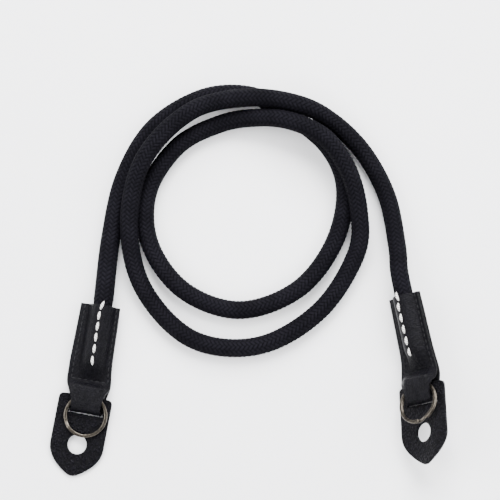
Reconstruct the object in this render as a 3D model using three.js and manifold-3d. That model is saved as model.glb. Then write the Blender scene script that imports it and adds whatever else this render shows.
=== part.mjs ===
// Climbing rope camera strap, lying in loose loops on a table.
//
// Millimetres. X runs to the right, Y away from the two leather ends, Z up, and Z = 0 is the table.
// The origin is under the middle of the two leather ends.
//
// Each leather end is drawn flat in a frame of its own, the end frame: x across to the right, y back
// towards the rope, z out of the leather, with the sleeve's mouth at y = 0 and the seam between the
// sleeve's two layers at z = 0. It is then laid where it lies on the table. Distances "from the mouth"
// run along -y of that frame, down to the flap's tip.

import * as THREE from 'three';
import { mergeVertices } from 'three/addons/utils/BufferGeometryUtils.js';
import Module from 'manifold-3d';

// Driving dimensions
const ROPE_DIAMETER = 10;
const LAYER = 1.5; // one layer of the sleeve's leather
const FLAP_THICKNESS = 2;
const GAP = 0.3; // clearance between pieces that touch
const RING_DIAMETER = 24.3;
const RING_RADIAL = 1.8; // width of the ring's flat wire
const RING_HEIGHT = 2; // two coils of that wire
const FLAP_WIDTH = 30;
const HOLE_DIAMETER = 11.6;
const TUNNEL_DEPTH = 28.5;

// Distances from the mouth
const LOOP_START = 43.3; // where the two layers part again, past the last row of stitches
const FOLD = 60.9;
const FLAP_TOP = 51.3;
const SLIT_BOTTOM = 61.8;
const HOLE_CENTRE = 78.4;
const SHOULDER = 79;
const FLAP_TIP = 96.3;

const LIFT_INSET = 0.2; // the lifted layer draws its edges in by this share of its lift

const ropeRadius = ROPE_DIAMETER / 2;
const TUNNEL_SIDES = 32;
const tunnelRadius = (ropeRadius + GAP) / Math.cos(Math.PI / TUNNEL_SIDES);
const archRadius = ropeRadius + LAYER; // outside of the leather over the rope
const tunnelZ = LAYER; // the rope's axis lies one layer above the seam
const FLAT_TOP = archRadius + 1.1; // half the width over which the upper layer's top is level

const { degToRad } = THREE.MathUtils;

// Sections of the sleeve. from: distance from the mouth. left, right: width on each side of the rope's
// axis. arch: how much of the round tunnel is left, 1 over the rope and 0 where the layers lie flat.
// lift, edgeLift: how far the upper layer stands off the lower one, over the flap and the ring, at the
// middle and at its edges.
const SLEEVE_SECTIONS = [
  { from: 0, left: 12.3, right: 9.8, arch: 1, lift: 0, edgeLift: 0 },
  { from: 10, left: 12.5, right: 10.1, arch: 1, lift: 0, edgeLift: 0 },
  { from: 20, left: 12.8, right: 10.3, arch: 1, lift: 0, edgeLift: 0 },
  { from: 29, left: 13.1, right: 10.5, arch: 1, lift: 0, edgeLift: 0 },
  { from: 32, left: 13.2, right: 10.6, arch: 0.9, lift: 0, edgeLift: 0 },
  { from: 34.6, left: 13.3, right: 10.7, arch: 0.66, lift: 0, edgeLift: 0 },
  { from: 37.4, left: 13.4, right: 10.8, arch: 0.36, lift: 0, edgeLift: 0 },
  { from: 40.2, left: 13.6, right: 11, arch: 0.1, lift: 0, edgeLift: 0 },
  { from: 42.3, left: 13.7, right: 11.2, arch: 0, lift: 0, edgeLift: 0 },
  { from: 44.7, left: 13.5, right: 11.1, arch: 0, lift: 2.2, edgeLift: 0.4 },
  { from: 45.8, left: 13.3, right: 11, arch: 0, lift: 4.4, edgeLift: 0.8 },
  { from: 46.8, left: 13, right: 10.8, arch: 0, lift: 5.6, edgeLift: 1.3 },
  { from: 48.8, left: 12, right: 10.3, arch: 0, lift: 5.8, edgeLift: 3.6 },
  { from: 51.7, left: 10.7, right: 9.8, arch: 0, lift: 5.8, edgeLift: 5.4 },
  { from: 55.6, left: 9.5, right: 9.4, arch: 0, lift: 5.6, edgeLift: 5.6 },
  { from: 59.4, left: 9, right: 9.2, arch: 0, lift: 4.9, edgeLift: 4.9 },
];
const FOLD_ROUNDING = [
  { from: 60.2, top: 5.7, bottom: -1.1 },
  { from: 60.7, top: 4.6, bottom: -0.4 },
  { from: 60.9, top: 3.4, bottom: 0.5 },
];

// Where each end lies. x, y, z: the place of the seam at the sleeve's mouth, and of the seam at the fold
// of its tab. heading: degrees that it turns from straight down the table, to the left where positive.
// roll: degrees that its right edge is raised. pitch: degrees that the side away from the rope is raised.
// slack: how far the upper layer stands off, against the table of sections. The flap and the ring are
// placed in the tab. height: of the flap's underside at the fold, and of the ring's middle. rise: degrees
// that the side away from the rope is raised. shift: how far the flap sits up the loop.
const LEFT_END = {
  sleeve: { x: -80.7, y: 43.8, z: 5, heading: 8.8, roll: 0, pitch: 0 },
  tab: { x: -90, y: -16.2, z: 1.5, heading: 10.3, roll: 0, pitch: 0 },
  slack: 1,
  flap: { x: -1.2, height: 0.3, rise: -2.7, shift: 0 },
  ring: { x: 0.7, from: 62.1, height: 3.6, rise: -2.7 },
};
const RIGHT_END = {
  sleeve: { x: 88.9, y: 49.2, z: 11.2, heading: -12.4, roll: 50.5, pitch: 1.2 },
  tab: { x: 99.1, y: -11.5, z: 11.3, heading: -10.3, roll: 40, pitch: 7 },
  slack: 1.2,
  flap: { x: -0.35, height: 1.7, rise: 7, shift: 1.5 },
  ring: { x: -0.3, from: 60.2, height: 7.1, rise: 17 },
};
const BEND_START = 30; // the sleeve's lie blends into the tab's between these distances
const BEND_END = 50;

// The rope's centre line: x, y, z of points along it.
const ROPE_ROUTE = [
  [-85, 16.1, 6.5],
  [-80.7, 43.8, 6.5],
  [-76.9, 82.7, 5.2],
  [-69.8, 117.5, 5],
  [-53.2, 146.5, 5],
  [-25.8, 164, 5],
  [0.7, 165.9, 5],
  [21.9, 155.7, 5],
  [45.8, 136.1, 5],
  [55.8, 111.3, 5],
  [49.5, 80.2, 5],
  [28.9, 53.4, 5],
  [-3.8, 41.6, 5],
  [-35.5, 52.7, 5],
  [-54.8, 79.5, 5],
  [-55.8, 109.7, 5],
  [-39.3, 135.7, 5.2],
  [-15.6, 148.4, 6],
  [5.3, 151, 10.6],
  [24.4, 148, 15.8],
  [43.8, 138.4, 16.6],
  [56.8, 120.2, 15.3],
  [63.1, 97.4, 12],
  [61.7, 73.3, 5.9],
  [40.9, 41.2, 5],
  [6.9, 21.6, 5],
  [-30.5, 25.2, 5],
  [-58, 53.5, 5.5],
  [-66.2, 89.6, 10.8],
  [-58, 126.1, 15],
  [-31.7, 153.7, 15],
  [0.5, 161.6, 15.3],
  [30.1, 158, 13.9],
  [50.4, 148.3, 7.3],
  [67.4, 130.7, 5.3],
  [79.7, 106.2, 5.25],
  [84.6, 78, 8.3],
  [85.3, 63, 11.5],
  [87.8, 49, 12.15],
  [93.3, 21.5, 12.5],
];
const ROPE_STEPS = 80;
const ROPE_SIDES = 10;

const wasm = await Module();
wasm.setup();

function leather(colour, roughness) {
  return new THREE.MeshStandardMaterial({ color: colour, roughness, metalness: 0 });
}

const sleeveLeather = leather(0x17161a, 0.5);
const flapLeather = leather(0x1b1a1f, 0.55);
const ropeCover = new THREE.MeshStandardMaterial({ color: 0x131217, roughness: 0.9, metalness: 0 });
const ringMetal = new THREE.MeshStandardMaterial({ color: 0x8c8478, roughness: 0.35, metalness: 1 });

// Joins closed rings of points, all of one length, into one closed solid. A ring starts and ends at the
// two corners of its left edge, and each cap is a fan round the point midway up that edge, at x = 0.
function loft(rings) {
  const count = rings[0].length;
  const positions = rings.flat().flatMap((point) => [point.x, point.y, point.z]);
  const index = [];
  for (let ring = 0; ring + 1 < rings.length; ring++) {
    for (let side = 0; side < count; side++) {
      const next = (side + 1) % count;
      const here = ring * count;
      const there = here + count;
      index.push(here + side, there + side, here + next);
      index.push(here + next, there + side, there + next);
    }
  }
  const capCentres = [rings[0], rings.at(-1)].map((ring) => {
    const middle = ring[0].clone().lerp(ring.at(-1), 0.5).setX(0);
    positions.push(middle.x, middle.y, middle.z);
    return positions.length / 3 - 1;
  });
  const lastStart = (rings.length - 1) * count;
  for (let side = 0; side < count; side++) {
    const next = (side + 1) % count;
    index.push(capCentres[0], side, next);
    index.push(capCentres[1], lastStart + next, lastStart + side);
  }
  const geometry = new THREE.BufferGeometry();
  geometry.setAttribute('position', new THREE.Float32BufferAttribute(positions, 3));
  geometry.setIndex(index);
  return geometry;
}

function toSolid(geometry) {
  const bare = geometry.clone();
  bare.deleteAttribute('normal');
  bare.deleteAttribute('uv');
  const merged = mergeVertices(bare, 1e-4);
  const mesh = new wasm.Mesh({
    numProp: 3,
    vertProperties: new Float32Array(merged.attributes.position.array),
    triVerts: new Uint32Array(merged.index.array),
  });
  return new wasm.Manifold(mesh);
}

function toGeometry(solid) {
  const mesh = solid.getMesh();
  const geometry = new THREE.BufferGeometry();
  geometry.setAttribute('position', new THREE.BufferAttribute(mesh.vertProperties, 3));
  geometry.setIndex(new THREE.BufferAttribute(mesh.triVerts, 1));
  return geometry;
}

// One section across the sleeve: margins of two layers, the arch over the rope and the belly under it.
function sleeveSection({ from, left, right, arch, lift, edgeLift }) {
  const point = (x, z) => new THREE.Vector3(x, -from, z);
  const topZ = LAYER + lift;
  const edgeZ = LAYER + edgeLift;
  const inset = LIFT_INSET * edgeLift;
  const section = [point(inset - left, edgeZ), point(-FLAT_TOP, topZ)];
  section.push(point(-archRadius - 0.3, topZ + 0.35 * arch));
  for (let angle = 165; angle >= 15; angle -= 12.5) {
    const turn = degToRad(angle);
    section.push(point(archRadius * Math.cos(turn), topZ + arch * archRadius * Math.sin(turn)));
  }
  section.push(point(archRadius + 0.3, topZ + 0.35 * arch));
  section.push(point(FLAT_TOP, topZ), point(right - inset, edgeZ));
  section.push(point(right, -LAYER), point(archRadius, -LAYER));
  const bellyDepth = archRadius - tunnelZ - LAYER;
  for (let angle = 0; angle <= 180; angle += 22.5) {
    const turn = degToRad(angle);
    section.push(point(0.85 * archRadius * Math.cos(turn), -LAYER - arch * bellyDepth * Math.sin(turn)));
  }
  section.push(point(-archRadius, -LAYER), point(-left, -LAYER));
  return section;
}

// The fold closes the loop: the last section again, with its height drawn in.
function foldSections(sections) {
  const last = sections.at(-1);
  const full = sleeveSection(last);
  const fullTop = LAYER + last.lift;
  return FOLD_ROUNDING.map(({ from, top, bottom }) => full.map((point) => {
    const share = (point.z + LAYER) / (fullTop + LAYER);
    return new THREE.Vector3(point.x, -from, bottom + share * (top - bottom));
  }));
}

// The room between the two layers of the tab, open on both sides.
function loopRoom(sections) {
  const sides = 20;
  const lifted = sections.filter(({ from, lift }) => from > LOOP_START && lift > 0);
  const rows = [
    { ...lifted[0], from: LOOP_START, lift: 0.4, edgeLift: 0.3 },
    ...lifted.slice(0, -1),
    { ...lifted.at(-1), from: FOLD - LAYER },
  ];
  return loft(rows.map(({ from, left, right, lift, edgeLift }) => {
    const inset = LIFT_INSET * edgeLift;
    return [
      [-sides, edgeLift],
      [inset - left, edgeLift],
      [-FLAT_TOP, lift],
      [FLAT_TOP, lift],
      [right - inset, edgeLift],
      [sides, edgeLift],
      [sides, 0],
      [-sides, 0],
    ].map(([x, z]) => new THREE.Vector3(x, -from, z));
  }));
}

function tunnel() {
  const overrun = 2;
  const length = TUNNEL_DEPTH + overrun;
  const geometry = new THREE.CylinderGeometry(tunnelRadius, tunnelRadius, length, TUNNEL_SIDES);
  geometry.translate(0, overrun - length / 2, tunnelZ);
  return geometry;
}

function flatSleeve(slack) {
  const sections = SLEEVE_SECTIONS.map((row) => ({
    ...row,
    lift: row.lift * slack,
    edgeLift: row.edgeLift * slack,
  }));
  const outer = loft([...sections.map(sleeveSection), ...foldSections(sections)]);
  return toGeometry(toSolid(outer).subtract(toSolid(tunnel())).subtract(toSolid(loopRoom(sections))));
}

// The frame of one lie: its matrix takes the end frame to the table, with the seam's centre at the
// given distance from the mouth put on its x, y and z.
function lieMatrix({ x, y, z, heading, roll, pitch }, fromMouth) {
  const turn = new THREE.Euler(degToRad(-pitch), degToRad(-roll), degToRad(-heading), 'ZYX');
  const matrix = new THREE.Matrix4().makeRotationFromEuler(turn);
  matrix.setPosition(x, y, z);
  return matrix.multiply(new THREE.Matrix4().makeTranslation(0, fromMouth, 0));
}

// Lays a flat sleeve down: its upper part as the sleeve lies, its tab as the tab lies.
function layDown(geometry, end) {
  const sleeve = lieMatrix(end.sleeve, 0);
  const tab = lieMatrix(end.tab, FOLD);
  const position = geometry.attributes.position;
  for (let i = 0; i < position.count; i++) {
    const flat = new THREE.Vector3().fromBufferAttribute(position, i);
    const share = THREE.MathUtils.smoothstep(-flat.y, BEND_START, BEND_END);
    const laid = flat.clone().applyMatrix4(sleeve).lerp(flat.applyMatrix4(tab), share);
    position.setXYZ(i, laid.x, laid.y, laid.z);
  }
  return geometry;
}

function flapOutline() {
  const half = FLAP_WIDTH / 2;
  const corner = 3;
  const shape = new THREE.Shape();
  shape.moveTo(-half + corner, -FLAP_TOP);
  shape.quadraticCurveTo(-half, -FLAP_TOP, -half, -FLAP_TOP - corner);
  shape.lineTo(-half, -SHOULDER);
  shape.bezierCurveTo(-half, -SHOULDER - 8, -half / 2, -FLAP_TIP + 3.4, -2.2, -FLAP_TIP + 0.7);
  shape.quadraticCurveTo(0, -FLAP_TIP - 0.2, 2.2, -FLAP_TIP + 0.7);
  shape.bezierCurveTo(half / 2, -FLAP_TIP + 3.4, half, -SHOULDER - 8, half, -SHOULDER);
  shape.lineTo(half, -FLAP_TOP - corner);
  shape.quadraticCurveTo(half, -FLAP_TOP, half - corner, -FLAP_TOP);
  shape.closePath();
  return shape;
}

// The slit goes round the fold, so a flap that sits higher on the loop has it lower.
function slitOutline(flap) {
  const play = 1;
  const last = SLEEVE_SECTIONS.at(-1);
  const left = -last.left - play - flap.x;
  const right = last.right + play - flap.x;
  const top = -(FOLD - LAYER - GAP) - flap.shift;
  const bottom = -SLIT_BOTTOM - flap.shift;
  const slit = new THREE.Path();
  slit.moveTo(left, top);
  slit.lineTo(left, bottom);
  slit.lineTo(right, bottom);
  slit.lineTo(right, top);
  slit.closePath();
  return slit;
}

function flapMesh(flap) {
  const shape = flapOutline();
  const hole = new THREE.Path();
  hole.absarc(0, -HOLE_CENTRE, HOLE_DIAMETER / 2, 0, 2 * Math.PI, true);
  shape.holes.push(slitOutline(flap), hole);
  const geometry = new THREE.ExtrudeGeometry(shape, {
    depth: FLAP_THICKNESS,
    bevelEnabled: false,
    curveSegments: 16,
  });
  return new THREE.Mesh(geometry, flapLeather);
}

function ringMesh() {
  const outer = RING_DIAMETER / 2;
  const inner = outer - RING_RADIAL;
  const half = RING_HEIGHT / 2;
  const edge = 0.35;
  const profile = [
    [inner + edge, -half],
    [outer - edge, -half],
    [outer, edge - half],
    [outer, half - edge],
    [outer - edge, half],
    [inner + edge, half],
    [inner, half - edge],
    [inner, edge - half],
    [inner + edge, -half],
  ].map(([radius, height]) => new THREE.Vector2(radius, height));
  const geometry = new THREE.LatheGeometry(profile, 48);
  geometry.rotateX(Math.PI / 2);
  return new THREE.Mesh(geometry, ringMetal);
}

// The flap on the tab's fold and the ring through its loop, each at its own slope.
function loopPieces(side, end) {
  const flap = flapMesh(end.flap);
  flap.name = `${side}_flap`;
  flap.position.set(end.flap.x, FOLD + end.flap.shift, 0);
  const slope = new THREE.Group();
  slope.add(flap);
  slope.position.set(0, -FOLD, end.flap.height);
  slope.rotation.x = degToRad(-end.flap.rise);
  const ring = ringMesh();
  ring.name = `${side}_ring`;
  ring.position.set(end.ring.x, -end.ring.from, end.ring.height);
  ring.rotation.x = degToRad(-end.ring.rise);
  const placed = new THREE.Group();
  placed.applyMatrix4(lieMatrix(end.tab, FOLD));
  placed.add(slope, ring);
  return placed;
}

function leatherEnd(side, end) {
  const group = new THREE.Group();
  const sleeve = new THREE.Mesh(layDown(flatSleeve(end.slack), end), sleeveLeather);
  sleeve.name = `${side}_sleeve`;
  group.add(sleeve, loopPieces(side, end));
  return group;
}

function rope() {
  const points = ROPE_ROUTE.map(([x, y, z]) => new THREE.Vector3(x, y, z));
  const route = new THREE.CatmullRomCurve3(points, false, 'catmullrom', 0.5);
  const section = new THREE.Shape();
  section.absarc(0, 0, ropeRadius, 0, 2 * Math.PI);
  const corners = section.getSpacedPoints(ROPE_SIDES).slice(0, ROPE_SIDES);
  const geometry = new THREE.ExtrudeGeometry(new THREE.Shape(corners), {
    steps: ROPE_STEPS,
    extrudePath: route,
    bevelEnabled: false,
  });
  const mesh = new THREE.Mesh(geometry, ropeCover);
  mesh.name = 'rope';
  return mesh;
}

const strap = new THREE.Group();
strap.add(rope(), leatherEnd('left', LEFT_END), leatherEnd('right', RIGHT_END));

export default strap;
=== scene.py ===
"""Climbing rope camera strap, laid out as an add-on.

Metres in the scene, millimetres in the tables of sizes. X runs to the right, Y away from the two
leather ends, Z up, and Z = 0 is the table.

Each leather end is made flat in a frame of its own, the end frame: x across to the right, y back
towards the rope, z out of the leather, the sleeve's mouth at y = 0 and the seam between the sleeve's
two layers at z = 0. It is then laid where it lies on the table. Distances "from the mouth" run along
-y of that frame, down to the flap's tip.
"""

import math

import bpy
import numpy as np
from mathutils import Matrix, Vector
from mathutils.geometry import delaunay_2d_cdt


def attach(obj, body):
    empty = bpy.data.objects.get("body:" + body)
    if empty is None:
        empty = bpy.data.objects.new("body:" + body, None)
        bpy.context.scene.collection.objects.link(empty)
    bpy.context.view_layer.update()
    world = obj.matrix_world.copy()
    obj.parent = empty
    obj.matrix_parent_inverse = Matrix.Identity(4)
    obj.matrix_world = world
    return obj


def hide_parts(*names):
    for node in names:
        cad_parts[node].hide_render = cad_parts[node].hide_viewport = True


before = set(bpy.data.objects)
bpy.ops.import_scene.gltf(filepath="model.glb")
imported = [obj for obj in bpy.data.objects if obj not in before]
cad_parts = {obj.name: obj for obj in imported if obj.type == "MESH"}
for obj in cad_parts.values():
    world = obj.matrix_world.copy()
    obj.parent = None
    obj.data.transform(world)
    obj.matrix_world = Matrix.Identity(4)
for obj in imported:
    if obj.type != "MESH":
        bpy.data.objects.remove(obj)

bl_info = {
    "name": "Rope Camera Strap",
    "version": (1, 0, 0),
    "blender": (4, 5, 0),
    "location": "View3D > Sidebar > Strap",
    "description": "Makes a braided rope camera strap with leather ends",
    "category": "Object",
}

MM = 0.001

# The rope and the sleeve. LAYER is the leather's thickness and ROPE_AXIS the rope's height over the
# seam. ARCH_RADIUS and BELLY_RADIUS are of the leather's middle, over and under the rope. FLAT_TOP is
# half the width that lifts fully, and LIFT_INSET how much the lifted edges draw in.
ROPE_DIAMETER = 10
LAYER = 1.5
ROPE_AXIS = 1.5
ARCH_RADIUS = (ROPE_DIAMETER + LAYER) / 2
BELLY_RADIUS = 5.9
FOLD_RADIUS = 1.9
FLAT_TOP = 7.6
LIFT_INSET = 0.2

# The flap
FLAP_WIDTH = 30.0
HOLE_DIAMETER = 11.6
BEVEL = 0.4

# The tunnel's side: the degrees from level where it leaves the round, and its turn into the margin
SIDE_ANGLE = 32
TURN_RADIUS = 2.4

# Distances from the mouth
FOLD = 60.9
FLAP_TOP = 51.3
SLIT_BOTTOM = 61.8
HOLE_CENTRE = 78.4
SHOULDER = 79.0
FLAP_TIP = 96.3
BEND_START = 30.0
BEND_END = 50.0
UNDER_LAYER_END = FOLD - 3

# Sections of the sleeve, as in the CAD part: distance from the mouth, width left and right of the
# rope's axis, how much of the round tunnel is left, and how far the upper layer stands off.
SECTION_COLUMNS = ("from", "left", "right", "arch", "lift", "edge_lift")
SLEEVE_SECTIONS = [
    (0, 12.3, 9.8, 1, 0, 0),
    (10, 12.5, 10.1, 1, 0, 0),
    (20, 12.8, 10.3, 1, 0, 0),
    (29, 13.1, 10.5, 1, 0, 0),
    (32, 13.2, 10.6, 0.9, 0, 0),
    (34.6, 13.3, 10.7, 0.66, 0, 0),
    (37.4, 13.4, 10.8, 0.36, 0, 0),
    (40.2, 13.6, 11, 0.1, 0, 0),
    (42.3, 13.7, 11.2, 0, 0, 0),
    (44.7, 13.5, 11.1, 0, 2.2, 0.4),
    (45.8, 13.3, 11, 0, 4.4, 0.8),
    (46.8, 13, 10.8, 0, 5.6, 1.3),
    (48.8, 12, 10.3, 0, 5.8, 3.6),
    (51.7, 10.7, 9.8, 0, 5.8, 5.4),
    (55.6, 9.5, 9.4, 0, 5.6, 5.6),
    (59.4, 9, 9.2, 0, 4.9, 4.9),
]

# Where each end lies. A lie is x, y, z, heading, roll and pitch of the seam, at the sleeve's mouth or
# at the fold of its tab.
ENDS = {
    "left": {
        "sleeve": (-80.7, 43.8, 5, 8.8, 0, 0),
        "tab": (-90, -16.2, 1.5, 10.3, 0, 0),
        "slack": 1,
        "crease": (3, 43.5, 9, 50.5, 0.4, 0.8),
        "flap": {"x": -1.2, "height": 0.3, "rise": -2.7, "shift": 0, "wave": 0.15},
        "ring": {"x": 0.7, "from": 62.1, "height": 3.6, "rise": -2.7, "split": 214},
    },
    "right": {
        "sleeve": (88.9, 49.2, 11.2, -12.4, 50.5, 1.2),
        "tab": (99.1, -11.5, 11.3, -10.3, 40, 7),
        "slack": 1.2,
        "flap": {"x": -0.35, "height": 1.7, "rise": 7, "shift": 1.5, "wave": 1.1},
        "ring": {"x": -0.3, "from": 60.2, "height": 7.1, "rise": 17, "split": 290},
    },
}

# The rope's centre line, as in the CAD part: x, y, z of points along it.
ROPE_ROUTE = [
    (-85, 16.1, 6.5),
    (-80.7, 43.8, 6.5),
    (-76.9, 82.7, 5.2),
    (-69.8, 117.5, 5),
    (-53.2, 146.5, 5),
    (-25.8, 164, 5),
    (0.7, 165.9, 5),
    (21.9, 155.7, 5),
    (45.8, 136.1, 5),
    (55.8, 111.3, 5),
    (49.5, 80.2, 5),
    (28.9, 53.4, 5),
    (-3.8, 41.6, 5),
    (-35.5, 52.7, 5),
    (-54.8, 79.5, 5),
    (-55.8, 109.7, 5),
    (-39.3, 135.7, 5.2),
    (-15.6, 148.4, 6),
    (5.3, 151, 10.6),
    (24.4, 148, 15.8),
    (43.8, 138.4, 16.6),
    (56.8, 120.2, 15.3),
    (63.1, 97.4, 12),
    (61.7, 73.3, 5.9),
    (40.9, 41.2, 5),
    (6.9, 21.6, 5),
    (-30.5, 25.2, 5),
    (-58, 53.5, 5.5),
    (-66.2, 89.6, 10.8),
    (-58, 126.1, 15),
    (-31.7, 153.7, 15),
    (0.5, 161.6, 15.3),
    (30.1, 158, 13.9),
    (50.4, 148.3, 7.3),
    (67.4, 130.7, 5.3),
    (79.7, 106.2, 5.25),
    (84.6, 78, 8.3),
    (85.3, 63, 11.5),
    (87.8, 49, 12.15),
    (93.3, 21.5, 12.5),
]

# The white stitches: across, from the mouth, and slant in degrees
WHITE_STITCHES = {
    "left": [
        (0.3, 0.6, -14),
        (-0.45, 6.4, -2),
        (-0.3, 12.4, 0),
        (-0.2, 18.6, 3),
        (0, 25, 1),
        (0, 31.6, 5),
    ],
    "right": [
        (0.9, 0.6, 8),
        (0.3, 6.4, -4),
        (0.4, 12.6, -3),
        (0.45, 19, -3),
        (0.5, 25.6, -4),
        (0, 32.3, -24),
    ],
}

# The black seam: how far it is in from the left and right edges, where it starts and ends, where it
# crosses over and how far in from the edges, and the thickness of its thread
SEAM_INSET = (2.6, 1.7)
SEAM_START = 1.8
SEAM_END = 42.0
CROSS_SEAM = 42.4
CROSS_INSET = (4, 2.6)
SEAM_THREAD = 0.6

# How finely the shapes are divided
ROPE_SIDES = 44
ROPE_SPACING = 0.538
STRETCH_POINTS = 80
SWELL_KNOTS = 60
MARGIN_COLUMNS = 14
HOLE_POINTS = 64
RING_ROWS = 300
STITCH_RINGS = 17
STITCH_SIDES = 12

# Where the photo was taken from
TARGET = (1.85, 76.53, 0)
ELEVATION = 81
DISTANCE = 900
LENS = 114.05


def smoothstep(value, low, high):
    """0 below low, 1 above high, and a smooth rise between them."""
    share = np.clip((value - low) / (high - low), 0, 1)
    return share * share * (3 - 2 * share)


# Sizes and colours that a user would change


def length_property(name, description, millimetres):
    return bpy.props.FloatProperty(
        name=name, description=description, default=millimetres * MM, unit="LENGTH"
    )


def colour_property(name, description, default):
    return bpy.props.FloatVectorProperty(
        name=name, description=description, default=default, min=0, max=1, subtype="COLOR"
    )


class RopeSizes(bpy.types.PropertyGroup):
    diameter: length_property("Diameter", "Rope diameter over its cover", ROPE_DIAMETER)
    strands: bpy.props.IntProperty(
        name="Strands", description="Strands of the braid in each direction", default=12
    )
    pick: length_property("Pick", "Length of one strand crossing along the rope", 2.55)
    relief: length_property("Relief", "How far the strands stand out", 0.6)
    # Dark is painted shade, between the strands and where they dip under; light is the strands' own colour
    # on their tops.
    dark: colour_property("Dark", "Colour between the strands", (0.0005, 0.0005, 0.0008))
    light: colour_property("Light", "Colour on top of the strands", (0.0062, 0.0058, 0.0082))


class LeatherSizes(bpy.types.PropertyGroup):
    layer: length_property("Layer", "Thickness of the sleeve's leather", LAYER)
    flap: length_property("Flap", "Thickness of the flap's leather", 2)
    seed: bpy.props.IntProperty(name="Seed", description="Seed of the creases", default=3)
    # The dark colours are painted shade in the grain's low places.
    sleeve_dark: colour_property("Sleeve Dark", "Colour in the sleeve's grain", (0.0007, 0.0007, 0.001))
    sleeve_light: colour_property("Sleeve Light", "Colour of the sleeve", (0.0048, 0.0045, 0.0064))
    flap_dark: colour_property("Flap Dark", "Colour in the flap's grain", (0.0004, 0.0004, 0.0006))
    flap_light: colour_property("Flap Light", "Colour of the flap", (0.0066, 0.0062, 0.0086))


class RingSizes(bpy.types.PropertyGroup):
    diameter: length_property("Diameter", "Outer diameter of the ring", 24.3)
    width: length_property("Width", "Width of its flat wire, across the ring", 1.8)
    height: length_property("Height", "Height of its two coils together", 2)
    dark: colour_property("Dark", "Colour of the stains", (0.055, 0.048, 0.040))
    light: colour_property("Light", "Colour of the plate", (0.105, 0.093, 0.077))


class StitchSizes(bpy.types.PropertyGroup):
    length: length_property("Length", "Length of a white stitch", 5.9)
    thickness: length_property("Thickness", "Thickness of a white stitch", 1.6)
    edge_pitch: length_property("Edge Pitch", "Distance between the black edge stitches", 3.3)
    # The dark thread colours are painted shade in the grooves of the twist.
    white_dark: colour_property("White Dark", "Colour in the white thread's twist", (0.3, 0.29, 0.28))
    white_light: colour_property("White Light", "Colour of the white thread", (0.84, 0.83, 0.81))
    black_dark: colour_property("Black Dark", "Colour in the black thread's twist", (0.002, 0.002, 0.0025))
    black_light: colour_property("Black Light", "Colour of the black thread", (0.007, 0.007, 0.009))


class StageSizes(bpy.types.PropertyGroup):
    table: length_property("Table", "Side of the table", 6000)
    light: bpy.props.FloatProperty(
        name="Light", description="Power of the light at the back", default=128.0, unit="POWER"
    )


# Meshes


def give_corner_uv(mesh, pairs):
    """Writes one uv pair for each corner of a mesh."""
    layer = mesh.uv_layers.get("cut") or mesh.uv_layers.new(name="cut")
    layer.data.foreach_set("uv", np.asarray(pairs, np.float32).ravel())


def make_object(name, points, faces, material, uv=None, smooth=True):
    """A mesh object from points in millimetres. uv holds one pair for each corner of each face."""
    mesh = bpy.data.meshes.new(name)
    mesh.from_pydata((np.asarray(points) * MM).tolist(), [], faces)
    if uv is not None:
        give_corner_uv(mesh, uv)
    mesh.materials.append(material)
    if smooth:
        mesh.shade_smooth()
    mesh.update()
    made = bpy.data.objects.new(name, mesh)
    bpy.context.scene.collection.objects.link(made)
    return made


def grid_faces(rows, columns, wrap):
    """Quads of a grid of points in rows. wrap joins the last column to the first."""
    row = np.arange(rows - 1)[:, None]
    column = np.arange(columns if wrap else columns - 1)[None, :]
    following = (column + 1) % columns
    corners = [row * columns + column, row * columns + following]
    corners += [(row + 1) * columns + following, (row + 1) * columns + column]
    return np.stack(np.broadcast_arrays(*corners), -1).reshape(-1, 4)


def turn_faces_outward(made):
    """Turns the faces of a closed mesh over if its signed volume is negative."""
    mesh = made.data
    mesh.calc_loop_triangles()
    points = np.zeros(len(mesh.vertices) * 3)
    mesh.vertices.foreach_get("co", points)
    points = points.reshape(-1, 3)
    triangles = np.zeros(len(mesh.loop_triangles) * 3, np.int32)
    mesh.loop_triangles.foreach_get("vertices", triangles)
    a, b, c = (points[triangles.reshape(-1, 3)[:, k]] for k in range(3))
    if np.einsum("ij,ij->i", a, np.cross(b, c)).sum() < 0:
        mesh.flip_normals()


# Lies of the leather ends


def lie_rotation(heading, roll, pitch):
    """The turn of a lie, in degrees: clockwise from +Y, right edge up, and the flap's end up."""
    turn = Matrix.Identity(3)
    for degrees, axis in ((heading, "Z"), (roll, "Y"), (pitch, "X")):
        turn = turn @ Matrix.Rotation(math.radians(-degrees), 3, axis)
    return np.array(turn)


def lie_matrix(lie, from_mouth):
    """Rotation and place that take the end frame to the table, as rows of points are taken."""
    rotation = lie_rotation(*lie[3:])
    place = np.array(lie[:3]) + rotation @ np.array([0, from_mouth, 0])
    return rotation, place


def lay_down(points, end):
    """Lays points of the end frame: the sleeve's upper part as it lies, its tab as the tab lies."""
    points = np.asarray(points, float)
    share = smoothstep(-points[..., 1], BEND_START, BEND_END)[..., None]
    sleeve_turn, sleeve_place = lie_matrix(end["sleeve"], 0)
    tab_turn, tab_place = lie_matrix(end["tab"], FOLD)
    as_sleeve = points @ sleeve_turn.T + sleeve_place
    as_tab = points @ tab_turn.T + tab_place
    return as_sleeve * (1 - share) + as_tab * share


def lay_on_tab(points, end, place, rise):
    """Points of a piece of its own frame, put at a place in the tab and tipped by rise degrees."""
    tipped = np.asarray(points, float) @ lie_rotation(0, 0, rise).T + np.array(place)
    turn, origin = lie_matrix(end["tab"], FOLD)
    return tipped @ turn.T + origin


# Nodes


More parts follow.
